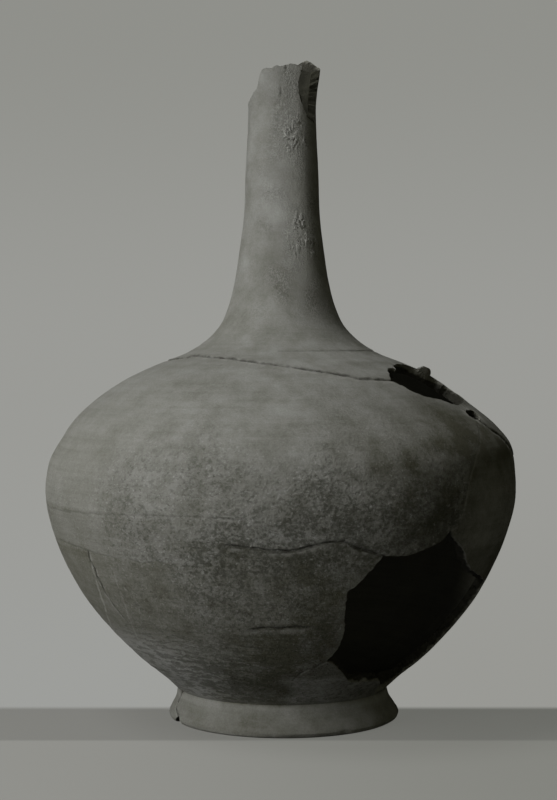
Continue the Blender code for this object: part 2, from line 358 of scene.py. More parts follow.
def distance_to(points, line):
    """The distance of each point to a line of points, and the height over its nearest spot."""
    nearest = np.full(len(points), 1e3)
    above = np.zeros(len(points))
    low, high = line.min(0) - 12 * MM, line.max(0) + 12 * MM
    close = np.where(((points > low) & (points < high)).all(1))[0]
    some = points[close]
    best = np.full(len(some), 1e3)
    rise = np.zeros(len(some))
    for start, end in zip(line, line[1:]):
        run = end - start
        t = np.clip((some - start) @ run / max(run @ run, 1e-12), 0, 1)
        offset = some - (start + t[:, None] * run)
        gap = np.linalg.norm(offset, axis=1)
        nearer = gap < best
        best[nearer] = gap[nearer]
        side = np.cross(run / np.linalg.norm(run), some - start)
        outward = (side * some).sum(1) * np.sign(-run[0] * some[:, 1] + run[1] * some[:, 0])
        rise[nearer] = np.where(offset[:, 2] == 0, outward, offset[:, 2])[nearer]
    nearest[close] = best
    above[close] = rise
    return nearest, above


def azimuth_height(points):
    """Each point's azimuth in degrees, from -180 to 180, and its height in millimetres."""
    azimuth = np.degrees(np.arctan2(points[:, 1], points[:, 0] - lean(points[:, 2])))
    return azimuth, points[:, 2] / MM


def patch(points, azimuth, height, wide, tall):
    """How deep each point lies in an oval patch of the wall: 1 at its middle, 0 outside."""
    centre = on_wall(azimuth, height)
    around = np.array([-math.sin(math.radians(azimuth)), math.cos(math.radians(azimuth)), 0])
    offset = points - centre
    sideways = offset @ around
    rest = np.sqrt(np.maximum((offset**2).sum(1) - sideways**2, 0))
    return np.clip(1 - (sideways / (wide * MM)) ** 2 - (rest / (tall * MM)) ** 2, 0, 1)


def noise_at(points, scale, seed=0.0, octaves=1, stretch=(1, 1, 1)):
    """Smooth noise from about -1 to 1 at each point, with a feature size in metres."""
    spread = np.asarray(points) / scale * np.array(stretch) + seed
    if octaves == 1:
        return np.array([noise.noise(Vector(p)) for p in spread])
    return np.array([noise.fractal(Vector(p), 1.0, 2.0, octaves) for p in spread])


def crack_lines():
    """Each crack's settings with its points on the wall, let wander a little as cracks do."""
    lines = []
    for i, (name, half, depth, step, tone, route) in enumerate(CRACKS):
        spot = along_route(route, 0.9 * MM)
        size = 0.5 * MM if tone > 0 and name != "tool line" else 0.15 * MM
        lines.append((half * MM, depth * MM, step * MM, tone, wander(spot, size, 4 * MM, i)))
    return lines


def turn_shell(bm, path, sides, index):
    """Turns a half section about the axis and gives its faces a material index."""
    verts = [bm.verts.new((point.x, 0.0, point.y)) for point in path]
    edges = [bm.edges.new(pair) for pair in zip(verts, verts[1:])]
    before = set(bm.faces)
    bmesh.ops.spin(
        bm, geom=verts + edges, cent=(0, 0, 0), axis=(0, 0, 1), angle=2 * math.pi,
        steps=sides, use_merge=True, use_duplicate=False,
    )
    for face in bm.faces:
        if face not in before:
            face.material_index = index


def inner_section(neck_wall, wall, floor_top):
    """The inside from above the rim down the neck and body and over the floor."""
    path = smooth_path(PROFILE, 5.5 * MM)
    inside = []
    for i, point in enumerate(path):
        along = path[min(i + 1, len(path) - 1)] - path[max(i - 1, 0)]
        along.normalize()
        low = PROFILE[NECK_POINTS][1] * MM
        high = PROFILE[NECK_POINTS - 2][1] * MM
        thickness = wall + (neck_wall - wall) * fade(point.y, low, high)
        spot = point + Vector((along.y, -along.x)) * thickness
        if spot.y > INNER_TURN_HEIGHT:
            inside.append(spot)
    last = inside[-1]
    floor = [
        (last.x, last.y), (0.82 * last.x, 0.7 * last.y + 0.3 * floor_top),
        (0.6 * last.x, floor_top + 1.2 * MM), (0.3 * last.x, floor_top), (0.0, floor_top),
    ]
    return inside[:-1] + smooth_path([(x / MM, z / MM) for x, z in floor], 5 * MM)


def outer_section(ring_width, recess):
    """The outside from above the rim to the foot, its ring and the recess inside it."""
    flare = smooth_path(FOOT_PROFILE, 1.2 * MM)
    ring = flare[-1].x - ring_width
    under = [
        (ring, 0.0), (ring - 2 * MM, 1.5 * MM), (ring - 5 * MM, 0.75 * recess),
        (ring - 10 * MM, recess), (0.0, recess + 0.4 * MM),
    ]
    hollow = smooth_path([(x / MM, z / MM) for x, z in under], 4 * MM)
    return smooth_path(PROFILE, 2.5 * MM) + flare[1:] + hollow


def refine(bm, chosen, upright=False):
    """Halves the outer wall's edges in the places chosen, or only the upright ones."""
    bm.verts.ensure_lookup_table()
    bm.verts.index_update()
    points = np.array([vert.co for vert in bm.verts])
    deep, slope = depth_in_wall(points)
    outer = (deep < 2.2 * MM) | (points[:, 2] < 16 * MM)
    close = chosen(points) & outer
    edges = [e for e in bm.edges if close[e.verts[0].index] and close[e.verts[1].index]]
    if upright:
        edges = [e for e in edges if abs(e.verts[0].co.z - e.verts[1].co.z) > e.calc_length() / 2]
    bmesh.ops.subdivide_edges(bm, edges=edges, cuts=1, use_grid_fill=True)


def wall_relief(points, relief):
    """How far each point of the outer wall moves out, in metres."""
    azimuth, height = azimuth_height(points)
    above_foot = height > 14
    on_body = fade(np.hypot(points[:, 0], points[:, 1]), 25 * MM, 65 * MM)
    move = 0.30 * MM * noise_at(points, 34 * MM, 3.1)
    throwing = noise_at(points, 5.2 * MM, 8.3, 2, (0.05, 0.05, 1))
    move += 0.11 * MM * throwing * (0.12 + 0.88 * on_body)
    move += 0.05 * MM * noise_at(points, 2.4 * MM, 5.5, 2)
    low = fade(height, 52, 28) * above_foot
    scored = noise_at(points, 2.1 * MM, 1.9, 2, (0.16, 0.16, 1))
    torn = np.clip(-scored - 0.16, 0, 1)
    move -= 0.8 * MM * torn * low * (0.35 + 0.65 * hump(azimuth, -122, 34))
    belly = fade(height, 100, 80) * above_foot
    pitted = noise_at(points, 3.0 * MM, 12.7, 2, (0.5, 0.5, 1))
    move -= 0.4 * MM * np.clip(pitted - 0.34, 0, 1) * belly
    for i, (at, up, wide, tall, depth) in enumerate(SCARS):
        inside = patch(points, at, up, wide, tall)
        touched = inside > 0
        ragged = 0.7 + 0.6 * noise_at(points[touched], 1.6 * MM, i)
        move[touched] -= depth * MM * np.minimum(1, 2.2 * inside[touched]) * ragged
    for i, (at, up, wide, tall) in enumerate(CRUSTS):
        inside = patch(points, at, up, wide, tall)
        touched = inside > 0
        lumps = 0.34 - np.abs(noise_at(points[touched], 1.4 * MM, i + 4, 2))
        patchy = np.clip(0.5 + 1.6 * noise_at(points[touched], 4 * MM, i + 8), 0, 1)
        move[touched] += 1.3 * MM * lumps * np.minimum(1, 2 * inside[touched]) * patchy
    at, up, size, lift = SHERD_TIP
    tip = patch(points, at, up, 2.4 * size, size)
    move += lift * MM * np.minimum(1, 1.4 * tip) * (height > 172.4)
    move *= relief
    for half, depth, step, tone, line in crack_lines():
        gap, rise = distance_to(points, line)
        close = gap < 7 * MM
        groove = np.clip(1 - (gap / (1.5 * half)) ** 2, 0, 1)
        lip = fade(gap, 6 * MM, 0) ** 2
        uneven = np.ones(len(points))
        uneven[close] = 0.75 + 0.5 * noise_at(points[close], 5 * MM, 2.2)
        move -= depth * groove * np.clip(uneven, 0.25, 1.3)
        move += step * lip * np.where(rise > 0, 0.6, -0.4) * close
    return move


def make_object(name, bm, materials):
    """An object in the scene from a bmesh, which is used up."""
    mesh = bpy.data.meshes.new(name)
    bm.to_mesh(mesh)
    bm.free()
    obj = bpy.data.objects.new(name, mesh)
    bpy.context.scene.collection.objects.link(obj)
    for material in materials:
        mesh.materials.append(material)
    return obj


def rough_band(bm, rings, shape):
    """Draws the loop of edges out through further rings, each placed by shape."""
    edges = [edge for edge in bm.edges if edge.is_wire or edge.is_boundary]
    for ring in rings:
        drawn = bmesh.ops.extrude_edge_only(bm, edges=edges)["geom"]
        edges = [item for item in drawn if isinstance(item, bmesh.types.BMEdge)]
        for item in drawn:
            if isinstance(item, bmesh.types.BMVert):
                item.co = shape(item, ring)


def sherd_cutter(name, outline, hub_height, near, far, seed, material):
    """A cutter with ragged sides that run from a point on the axis through an outline.

    It spans from near to far, where 0 is the point on the axis and 1 the outer wall.
    """
    hub = Vector((0.0, 0.0, hub_height))
    edge = along_route(outline, 1.1 * MM, closed=True)
    edge = wander(wander(edge, 0.3 * MM, 3.5 * MM, seed), 0.2 * MM, 1.2 * MM, seed + 9)
    spots = [Vector(point) for point in edge]
    middle = Vector(edge.mean(0))
    bm = bmesh.new()
    key = bm.verts.layers.int.new("spot")
    verts = [bm.verts.new(hub + (spot - hub) * near) for spot in spots]
    for i, vert in enumerate(verts):
        vert[key] = i
        bm.edges.new((vert, verts[(i + 1) % len(verts)]))
    bmesh.ops.contextual_create(bm, geom=bm.edges[:])
    bmesh.ops.poke(bm, faces=bm.faces[:])

    def shape(vert, scale):
        spot = spots[vert[key]]
        place = (hub + (spot - hub) * scale) / (1.3 * MM)
        inward = (middle - spot).normalized()
        ragged = 1.3 * MM * (noise.noise(place) + 0.9 * noise.noise(place / 2.6))
        ragged *= min(1.0, abs(1.0 - scale) / 0.009)
        if scale in (near, far):
            ragged = 0.0
        tilt = 1.4 * MM * (1 - scale) / 0.06 * noise.noise(spot / (9 * MM))
        return hub + (spot - hub) * scale + inward * (ragged + max(-1.2 * MM, min(1.2 * MM, tilt)))

    wall_scales = np.linspace(0.925, 1.006, 10)
    rings = [scale for scale in wall_scales if near < scale < far]
    rough_band(bm, rings + [far], shape)
    rim = [edge for edge in bm.edges if edge.is_boundary]
    bmesh.ops.contextual_create(bm, geom=rim)
    cap = [face for face in bm.faces if len(face.verts) > 4]
    top = bmesh.ops.poke(bm, faces=cap)["verts"]
    reach = max((spot - hub).length for spot in spots) * far
    for vert in top:
        vert.co = hub + (vert.co - hub).normalized() * reach
    bmesh.ops.recalc_face_normals(bm, faces=bm.faces)
    return make_object(name, bm, [material])


def wedge_cutter(name, azimuth, height, half, depth, material):
    """A three-sided wedge that takes a chip out of the foot's edge."""
    bm = bmesh.new()
    around = Vector((-math.sin(math.radians(azimuth)), math.cos(math.radians(azimuth)), 0))
    outward = Vector((around.y, -around.x, 0))
    base = outward * 62 * MM
    corners = [base + Vector((0, 0, height * MM)) + around * 0.4 * half * MM]
    corners += [base + around * side * half * MM + Vector((0, 0, -2 * MM)) for side in (-1.3, 1.6)]
    inner = [corner - outward * (depth + 4.5) * MM for corner in corners]
    inner[0] += outward * 2.2 * MM
    loops = [[bm.verts.new(spot) for spot in loop] for loop in (corners, inner)]
    bm.faces.new(loops[0])
    bm.faces.new(loops[1])
    for i in range(3):
        k = (i + 1) % 3
        bm.faces.new((loops[0][i], loops[0][k], loops[1][k], loops[1][i]))
    bmesh.ops.recalc_face_normals(bm, faces=bm.faces)
    return make_object(name, bm, [material])


def rim_cutter(name, material):
    """A cutter with a ragged underside that takes off all above the broken rim."""
    route = np.array(BROKEN_RIM + [(BROKEN_RIM[0][0] + 360, BROKEN_RIM[0][1])], float)
    steps = 200
    turns = np.linspace(route[0, 0], route[0, 0] + 360, steps, endpoint=False)
    heights = np.interp(turns, route[:, 0], route[:, 1]) * MM
    top = JAR_BOX[1].z + 15 * MM
    bm = bmesh.new()
    key = bm.verts.layers.int.new("spot")

    def place(i, radius):
        angle = math.radians(turns[i])
        spot = Vector((radius * math.cos(angle), radius * math.sin(angle), heights[i]))
        ragged = 0.9 * noise.noise(spot / (1.5 * MM)) + 2.0 * noise.noise(spot / (4.5 * MM))
        chipped = hump(turns[i], *CREST_CHIP[:2]) * CREST_CHIP[2]
        spot.z += 0.6 * MM * ragged - chipped * MM * fade(radius, 18.6 * MM, 15.2 * MM)
        return spot

    verts = [bm.verts.new(place(i, 6 * MM)) for i in range(steps)]
    for i, vert in enumerate(verts):
        vert[key] = i
        bm.edges.new((vert, verts[(i + 1) % steps]))
    bmesh.ops.contextual_create(bm, geom=bm.edges[:])
    bmesh.ops.poke(bm, faces=bm.faces[:])
    radii = [radius * MM for radius in (11.5, 12.6, 13.6, 14.6, 15.6, 16.6, 17.6, 18.8, 20.5, 30)]
    rough_band(bm, radii, lambda vert, radius: place(vert[key], radius))
    rough_band(bm, [top], lambda vert, height: Vector((vert.co.x, vert.co.y, height)))
    bmesh.ops.contextual_create(bm, geom=[edge for edge in bm.edges if edge.is_boundary])
    bmesh.ops.recalc_face_normals(bm, faces=bm.faces)
    return make_object(name, bm, [material])


def cut_away(obj, cutters):
    """Cuts the lost sherds out of the wall for good, one after another."""
    for cutter in cutters:
        cut = obj.modifiers.new(cutter.name, "BOOLEAN")
        cut.operation = "DIFFERENCE"
        cut.solver = "MANIFOLD"
        cut.material_mode = "TRANSFER"
        cut.object = cutter
        graph = bpy.context.evaluated_depsgraph_get()
        mesh = bpy.data.meshes.new_from_object(obj.evaluated_get(graph))
        old = obj.data
        obj.modifiers.clear()
        obj.data = mesh
        mesh.name = obj.name
        bpy.data.meshes.remove(old)
        bpy.data.objects.remove(cutter, do_unlink=True)


def wear(mesh, relief):
    """Moves the outer skin in and out; broken faces follow it close to the skin."""
    points, out = read_points(mesh), read_points(mesh, "normal")
    height = points[:, 2]
    deep, slope = depth_in_wall(points)
    skin = fade(deep, 2.6 * MM, 0)
    wall = height > 14.5 * MM
    skin[~wall] = height[~wall] > 0.6 * MM
    across = points[:, 0] - lean(height)
    radius = np.maximum(np.hypot(across, points[:, 1]), 1e-6)
    true = np.stack([across / radius, points[:, 1] / radius, -slope], axis=-1)
    true /= np.sqrt(1 + slope**2)[:, None]
    out[wall] = true[wall]
    outer = skin > 0
    move = np.zeros(len(points))
    move[outer] = wall_relief(points[outer], relief) * skin[outer]
    points += out * move[:, None]
    mesh.vertices.foreach_set("co", points.ravel())
    mesh.update()


def region(azimuth, height, low, high, blur=1.0):
    """1 where a point lies in a patch between two azimuths and two heights, with soft sides."""
    side = 1.5 * blur
    around = fade(azimuth, low[0] - side, low[0] + side)
    around *= fade(azimuth, high[0] + side, high[0] - side)
    upright = fade(height, low[1] - blur, low[1] + blur)
    return around * upright * fade(height, high[1] + blur, high[1] - blur)


def crack_soil(points):
    """Soil in the cracks, a painted highlight along the lower edge of each dark crack, and the pale
    joints.
    """
    dark, pale = np.zeros(len(points)), np.zeros(len(points))
    for half, depth, step, tone, line in crack_lines():
        gap, rise = distance_to(points, line)
        close = gap < 6 * half
        frayed = np.ones(len(points))
        frayed[close] = 1 + 0.9 * noise_at(points[close], 3.1 * MM, 3.7, 2)
        mark = hump(gap, 0, 1.35 * half * np.clip(frayed, 0.45, 2))
        if tone > 0:
            dark = np.maximum(dark, tone * mark)
            # Painted highlight: a pale lip along the lower edge of each dark crack
            lip = hump(gap, 2.7 * half, 1.1 * half) * (rise < 0)
            pale = np.maximum(pale, 0.4 * tone * lip * np.clip(2.2 * frayed - 1.6, 0, 1.5))
        else:
            pale = np.maximum(pale, -tone * mark)
    return dark, pale


def lime_crust(points, turn, height):
    """Lime in curls on the crusts, and in flecks all over the neck's front."""
    lime = np.zeros(len(points))
    for i, (at, up, wide, tall) in enumerate(CRUSTS):
        inside = patch(points, at, up, 1.3 * wide, 1.2 * tall)
        touched = inside > 0
        broken_up = np.clip(0.75 + 1.8 * noise_at(points[touched], 4 * MM, i + 8), 0, 1)
        crust = np.minimum(1, 1.7 * inside[touched]) * broken_up
        lime[touched] = np.maximum(lime[touched], crust)
    flecked = 0.45 * fade(height, 196, 216) * hump(turn, -70, 45)
    return np.maximum(lime, flecked * np.clip(0.4 + 1.3 * noise_at(points, 9 * MM, 2.6), 0, 1))


def route_of(name):
    """The route of a named crack."""
    return next(crack[5] for crack in CRACKS if crack[0] == name)


def stain_masks(mesh):
    """Stores what the materials read: soil, pale marks and painted highlights, lime, stains with a
    painted highlight on the foot, stipple, painted shade inside the neck, and broken depth with
    painted shade and highlight.
    """
    points = read_points(mesh)
    azimuth, height = azimuth_height(points)
    turn = np.where(azimuth > 90, azimuth - 360, azimuth)
    out = np.hypot(points[:, 0], points[:, 1]) / MM
    dark, pale = crack_soil(points)
    ragged = 0.6 + 0.9 * noise_at(points, 2.4 * MM, 6.1, 3)
    for scar in SCARS:
        zone = np.minimum(1, 2 * patch(points, *scar[:4]))
        dark = np.maximum(dark, 0.4 * zone * np.clip(ragged, 0, 1))
    from_pinhole = distance_to(points, along_route(SHOULDER_PINHOLE, closed=True))[0]
    lip = hump(from_pinhole, 0, 3 * MM) * np.clip(1.7 * ragged - 0.3, 0, 1)
    # Paler down the neck's right front and beside the notch
    neck_side = 0.8 * hump(turn, -60, np.where(turn < -60, 22, 15)) * fade(height, 212, 234)
    notch_side = hump(turn, -62, 16) * fade(height, 298, 304)
    zone = np.maximum(neck_side, notch_side) * np.clip(0.65 + 0.5 * ragged, 0.6, 1.1)
    pale = np.maximum(pale, np.maximum(lip, zone))

    # Where things lie: under the belly's joint, above it, on the front, and short of the back
    parts = (route_of("belly joint " + part) for part in ("left", "middle", "right"))
    joint = np.array(sorted(sum(parts, [])))
    border = np.interp(turn, joint[:, 0], joint[:, 1])
    below = fade(height - border, 0.4, -0.4) * (height > 14)
    upper = (1 - below) * fade(height, 168, 144) * fade(height, 88, 92)
    in_front = np.minimum(turn + 150, 90 - turn)
    on_left = fade(turn, -235, -190)
    rim = np.array(route_of("hole to shoulder joint"))
    side = fade(turn - np.interp(height, rim[:, 1], rim[:, 0]), -0.6, 0.6)
    side = side * region(turn, height, (-60, 62), (70, 156), 4)
    body = fade(out, 22, 42)

    # Each sherd's own tone, a painted highlight round the foot's flare, and the stains
    sherd = -0.6 * below * np.maximum(0.28, fade(in_front, 0, 60))
    sherd -= 0.16 * fade(height, 111.4, 110.2) * (height > 88) * fade(turn, -92, -104) * on_left
    sherd -= 0.2 * side
    sherd -= 0.6 * below * fade(turn, -111, -120) * fade(height, 46, 54) * on_left
    sherd -= 0.4 * upper * fade(turn, -100, -140) * on_left
    foot_front = fade(turn, -72, -52) * fade(turn, 90, 70)
    sherd -= (0.42 - 0.4 * foot_front) * fade(height, 16.5, 14.5)
    # Painted highlight: a paler band round the foot's upper flare, where it catches the light
    sherd += 0.3 * fade(np.abs(height - 13), 2.2, 0)
    for low, high, blur, paler in PALE_AREAS:
        sherd += paler * region(turn, height, low, high, blur)
    uneven = np.clip(0.75 + 0.7 * noise_at(points, 11 * MM, 7.7, 3), 0, 1.3)
    for at, up, wide, tall, strength in STAINS:
        away = np.radians(np.abs((azimuth - at + 180) % 360 - 180)) * out
        sherd -= 1.3 * strength * hump(away, 0, wide) * hump(height, up, tall) * uneven

    # Stipple is strongest on the belly's front and torn dashes low down on its left
    stipple = np.maximum(0.05, fade(height, 176, 96)) * np.where(height > 16, 1, 0.25)
    stipple *= 0.25 + 0.75 * fade(in_front, 0, 45)
    stipple += 0.5 * hump(turn, -54, 10) * hump(height, 112, 14) - 0.45 * side
    stipple *= 1 - 0.25 * fade(height, 92, 84)
    torn = fade(height, 64, 38) * (height > 15.5) * (0.35 + 0.65 * hump(turn, -122, 36))

    # Broken faces darken inwards; painted shade darkens the gap's right end and a painted highlight
    # makes the sherd's tip paler
    deep = depth_in_wall(points)[0] + 1.1 * MM * noise_at(points, 2.6 * MM, 3.3, 2)
    shaded = 0.24 * region(turn, height, (-34, 156), (2, 169), 2)
    shaded -= 0.5 * region(turn, height, (-12, 170), (8, 182), 2)
    # Painted shade inside the neck: darker towards its far wall, which shows through the notch
    neck_inside_shade = 0.34 * fade(points[:, 1] / MM, 11, 2)

    masks = {
        "turning": 0.08 + 0.22 * body,
        "broken_depth_and_painted_light": np.clip(deep / (4 * MM) + shaded, 0, 1),
        "mottle": 1 - 0.5 * fade(turn, -116, -142) * on_left * body,
        "inside_tone_and_shade": np.where(height > 290, neck_inside_shade, 0.55 * (height > 16)),
        "stipple": stipple + 0.3 * noise_at(points, 40 * MM, 9.9, 2),
        "torn": torn,
        "crack_dirt": dark,
        "pale_and_highlight": pale,
        "lime": lime_crust(points, turn, height),
        "sherd_tone_and_highlight": sherd,
    }
    for name, values in masks.items():
        layer = mesh.attributes.new(name, "FLOAT", "POINT")
        layer.data.foreach_set("value", np.asarray(values, np.float32))


class Tree:
    """Adds nodes to a shader or a group, joining them by name."""

    def __init__(self, tree):
        self.tree = tree

    def add(self, kind, values=None, **settings):
        node = self.tree.nodes.new(kind)
        for name, value in settings.items():
            setattr(node, name, value)
        for socket, value in (values or {}).items():
            self.put(node.inputs[socket], value)
        return node

    def put(self, socket, value):
        if isinstance(value, bpy.types.NodeSocket):
            self.tree.links.new(value, socket)
        else:
            socket.default_value = value

    def math(self, operation, a, b=0.0, c=0.0, clamp=False):
        node = self.add("ShaderNodeMath", {0: a, 1: b, 2: c}, operation=operation)
        node.use_clamp = clamp
        return node.outputs[0]

    def ramp(self, value, low, high, to_low=0.0, to_high=1.0):
        values = {0: value, 1: low, 2: high, 3: to_low, 4: to_high}
        return self.add("ShaderNodeMapRange", values, interpolation_type="SMOOTHSTEP").outputs[0]

    def mix(self, factor, a, b):
        node = self.add("ShaderNodeMix", data_type="RGBA")
        self.put(node.inputs[0], factor)
        self.put(node.inputs[6], a)
        self.put(node.inputs[7], b)
        return node.outputs[2]

    def noise(self, place, scale, detail=4.0, rough=0.55):
        values = {"Vector": place, "Scale": scale, "Detail": detail, "Roughness": rough}
        return self.add("ShaderNodeTexNoise", values).outputs["Fac"]

    def stretched(self, place, factors):
        node = self.add("ShaderNodeVectorMath", {0: place, 1: factors}, operation="MULTIPLY")
        return node.outputs[0]

    def attribute(self, name):
        return self.add("ShaderNodeAttribute", attribute_name=name).outputs["Fac"]


def new_group(name, inputs, outputs):
    """A shader node group with named sockets, ready to be filled."""
    group = bpy.data.node_groups.new(name, "ShaderNodeTree")
    for label, kind, value in inputs:
        socket = group.interface.new_socket(label, in_out="INPUT", socket_type=kind)
        if value is not None:
            socket.default_value = value
    for label, kind in outputs:
        group.interface.new_socket(label, in_out="OUTPUT", socket_type=kind)
    tree = Tree(group)
    return tree, tree.add("NodeGroupInput"), tree.add("NodeGroupOutput")


def fired_clay_group():
    """Mottling, stipple, pits, torn dashes and turning lines of low-fired clay."""
    tree, inward, outward = new_group(
        "Fired clay",
        [("Place", "NodeSocketVector", None), ("Mottle", "NodeSocketFloat", 1.0),
         ("Stipple", "NodeSocketFloat", 0.5), ("Torn", "NodeSocketFloat", 0.0),
         ("Turning", "NodeSocketFloat", 0.3)],
        [("Tone", "NodeSocketFloat"), ("Dirt", "NodeSocketFloat"), ("Height", "NodeSocketFloat")],
    )
    place = inward.outputs["Place"]
    cloud = tree.noise(place, 18, 4, 0.6)
    blotch = tree.noise(place, 85, 6, 0.68)
    grain = tree.noise(place, 1150, 3, 0.6)
    lines = tree.noise(tree.stretched(place, (0.03, 0.03, 1)), 480, 4, 0.6)
    broad = tree.math("MULTIPLY_ADD", cloud, 0.5, tree.math("MULTIPLY", blotch, 0.9))
    swing = tree.math("MULTIPLY", tree.math("SUBTRACT", broad, 0.7), inward.outputs["Mottle"])
    streak = tree.math("MULTIPLY", tree.math("SUBTRACT", lines, 0.5), inward.outputs["Turning"])
    speck = tree.math("SUBTRACT", grain, 0.5)
    tone = tree.math("MULTIPLY_ADD", speck, 0.35, tree.math("ADD", streak, swing))
    flecks = tree.ramp(tree.noise(tree.stretched(place, (0.7, 0.7, 1)), 1000, 2, 0.5), 0.61, 0.69)
    flecks = tree.math("MULTIPLY", flecks, inward.outputs["Stipple"])
    tone = tree.math("MULTIPLY_ADD", flecks, 0.4, tone)

    spread = tree.noise(tree.stretched(place, (0.8, 0.8, 1)), 560, 6, 0.74)
    cluster = tree.math("SUBTRACT", tree.noise(place, 150, 3, 0.6), 0.5)
    dense = tree.math("MULTIPLY_ADD", inward.outputs["Stipple"], 0.13, spread)
    dense = tree.math("MULTIPLY_ADD", cluster, 0.3, dense)
    dense = tree.math("MULTIPLY_ADD", tree.math("SUBTRACT", blotch, 0.5), -0.15, dense)
    strength = tree.ramp(inward.outputs["Stipple"], 0.1, 1.0, 0.05, 0.86)
    stipple = tree.math("MULTIPLY", tree.ramp(dense, 0.54, 0.72), strength)
    shaken = tree.add("ShaderNodeTexNoise", {"Vector": place, "Scale": 900.0}).outputs["Color"]
    shaken = tree.stretched(shaken, (0.0022, 0.0022, 0.0014))
    shaken = tree.add("ShaderNodeVectorMath", {0: place, 1: shaken}, operation="ADD").outputs[0]
    cells = tree.add("ShaderNodeTexVoronoi", {"Vector": shaken, "Scale": 440.0})
    chance = tree.add("ShaderNodeSeparateColor", {0: cells.outputs["Color"]}).outputs[0]
    size = tree.ramp(chance, 0.78, 1.0, 0.0, 0.32)
    deep = tree.math("LESS_THAN", cells.outputs["Distance"], size)
    pits = tree.math("MULTIPLY", deep, tree.ramp(inward.outputs["Stipple"], 0.05, 0.9, 0.0, 0.75))
    dashes = tree.noise(tree.stretched(place, (0.24, 0.24, 1)), 680, 4, 0.6)
    torn = tree.math("MULTIPLY_ADD", inward.outputs["Torn"], 0.1, dashes)
    torn = tree.math("MULTIPLY", tree.ramp(torn, 0.575, 0.63), inward.outputs["Torn"])
    torn = tree.math("MULTIPLY", torn, 0.7, clamp=True)
    dirt = tree.math("MAXIMUM", tree.math("MAXIMUM", stipple, pits), torn)

    rough = tree.math("MULTIPLY", tree.noise(place, 700, 4, 0.7), inward.outputs["Stipple"])
    relief = tree.math("MULTIPLY_ADD", speck, 0.4, tree.math("MULTIPLY", streak, 0.8))
    relief = tree.math("MULTIPLY_ADD", rough, 2.5, relief)
    relief = tree.math("MULTIPLY_ADD", blotch, 0.5, relief)
    relief = tree.math("MULTIPLY_ADD", stipple, -0.45, relief)
    relief = tree.math("MULTIPLY_ADD", torn, -2.2, tree.math("SUBTRACT", relief, pits))
    tree.put(outward.inputs["Tone"], tone)
    tree.put(outward.inputs["Dirt"], dirt)
    tree.put(outward.inputs["Height"], relief)
    return tree.tree


def clay_material(name, group, settings, marks):
    """Clay with its light and dark tones, and on the outer wall the stains, crust, pale marks and
    painted highlights; painted shade in the crust's hollows, on broken faces and inside the neck.
    """
    light, dark, mottle, stipple, turning, bump = settings
    material = bpy.data.materials.new(name)
    material.use_nodes = True
    tree = Tree(material.node_tree)
    shader = material.node_tree.nodes["Principled BSDF"]
    place = tree.add("ShaderNodeTexCoord").outputs["Object"]
    clay = tree.add("ShaderNodeGroup", node_tree=group)
    torn = 0.0
    if marks:
        stipple, torn = tree.attribute("stipple"), tree.attribute("torn")
        turning = tree.attribute("turning")
        mottle = tree.math("MULTIPLY", tree.attribute("mottle"), mottle)
    for socket, value in zip(clay.inputs, (place, mottle, stipple, torn, turning)):
        tree.put(socket, value)
    tone = tree.math("ADD", clay.outputs["Tone"], 0.5)
    # Inside, the tone carries the painted shade on the neck's far inside
    if name == "inner_clay":
        patches = tree.math("MULTIPLY", clay.outputs["Tone"], 0.4)
        tone = tree.math("ADD", patches, tree.attribute("inside_tone_and_shade"))
    if marks:
        tone = tree.math("MULTIPLY_ADD", tree.attribute("sherd_tone_and_highlight"), 0.42, tone)
    colour = tree.mix(tree.math("ADD", tone, 0.0, clamp=True), dark, light)
    soiled = tree.math("MULTIPLY", clay.outputs["Dirt"], 0.78)
    colour = tree.mix(soiled, colour, SOIL)
    height = clay.outputs["Height"]
    if name == "broken_clay":
        # Broken faces darken towards the dark core, with painted shade at the gap's right end and a
        # painted highlight on the sherd's tip
        core_and_painted_light = tree.ramp(tree.attribute("broken_depth_and_painted_light"), 0.1, 0.45, 0.0, 0.88)
        colour = tree.mix(core_and_painted_light, colour, CORE_AND_SHADE)
    if marks:
        curl = tree.noise(place, 600, 2, 0.6)
        ridge = tree.math("ABSOLUTE", tree.math("MULTIPLY_ADD", curl, 2.0, -1.0))
        curls = tree.math("MULTIPLY", tree.ramp(ridge, 0.03, 0.12, 1, 0), tree.attribute("lime"))
        # Painted shade in the crust's hollows between the lime curls, in the dirt colour
        hollow = tree.math("MULTIPLY", tree.ramp(ridge, 0.14, 0.26, 0, 0.9), tree.attribute("lime"))
        colour = tree.mix(hollow, colour, marks["dirt"])
        colour = tree.mix(curls, colour, marks["lime"])
        # Pale joints and marks, and the painted highlights below the dark cracks
        zone = tree.math("MULTIPLY", tree.attribute("pale_and_highlight"), 0.9)
        colour = tree.mix(zone, colour, marks["zone"])
        dirt = tree.math("MULTIPLY", tree.attribute("crack_dirt"), 0.92)
        colour = tree.mix(dirt, colour, marks["dirt"])
        height = tree.math("MULTIPLY_ADD", curls, 2.6, height)
    tree.put(shader.inputs["Base Color"], colour)
    tree.put(shader.inputs["Roughness"], tree.ramp(tone, 0.0, 1.0, 0.96, 0.8))
    shader.inputs["Specular IOR Level"].default_value = 0.22
    bumped = tree.add("ShaderNodeBump", {"Strength": 0.75, "Distance": bump, "Height": height})
    tree.put(shader.inputs["Normal"], bumped.outputs[0])
    return material


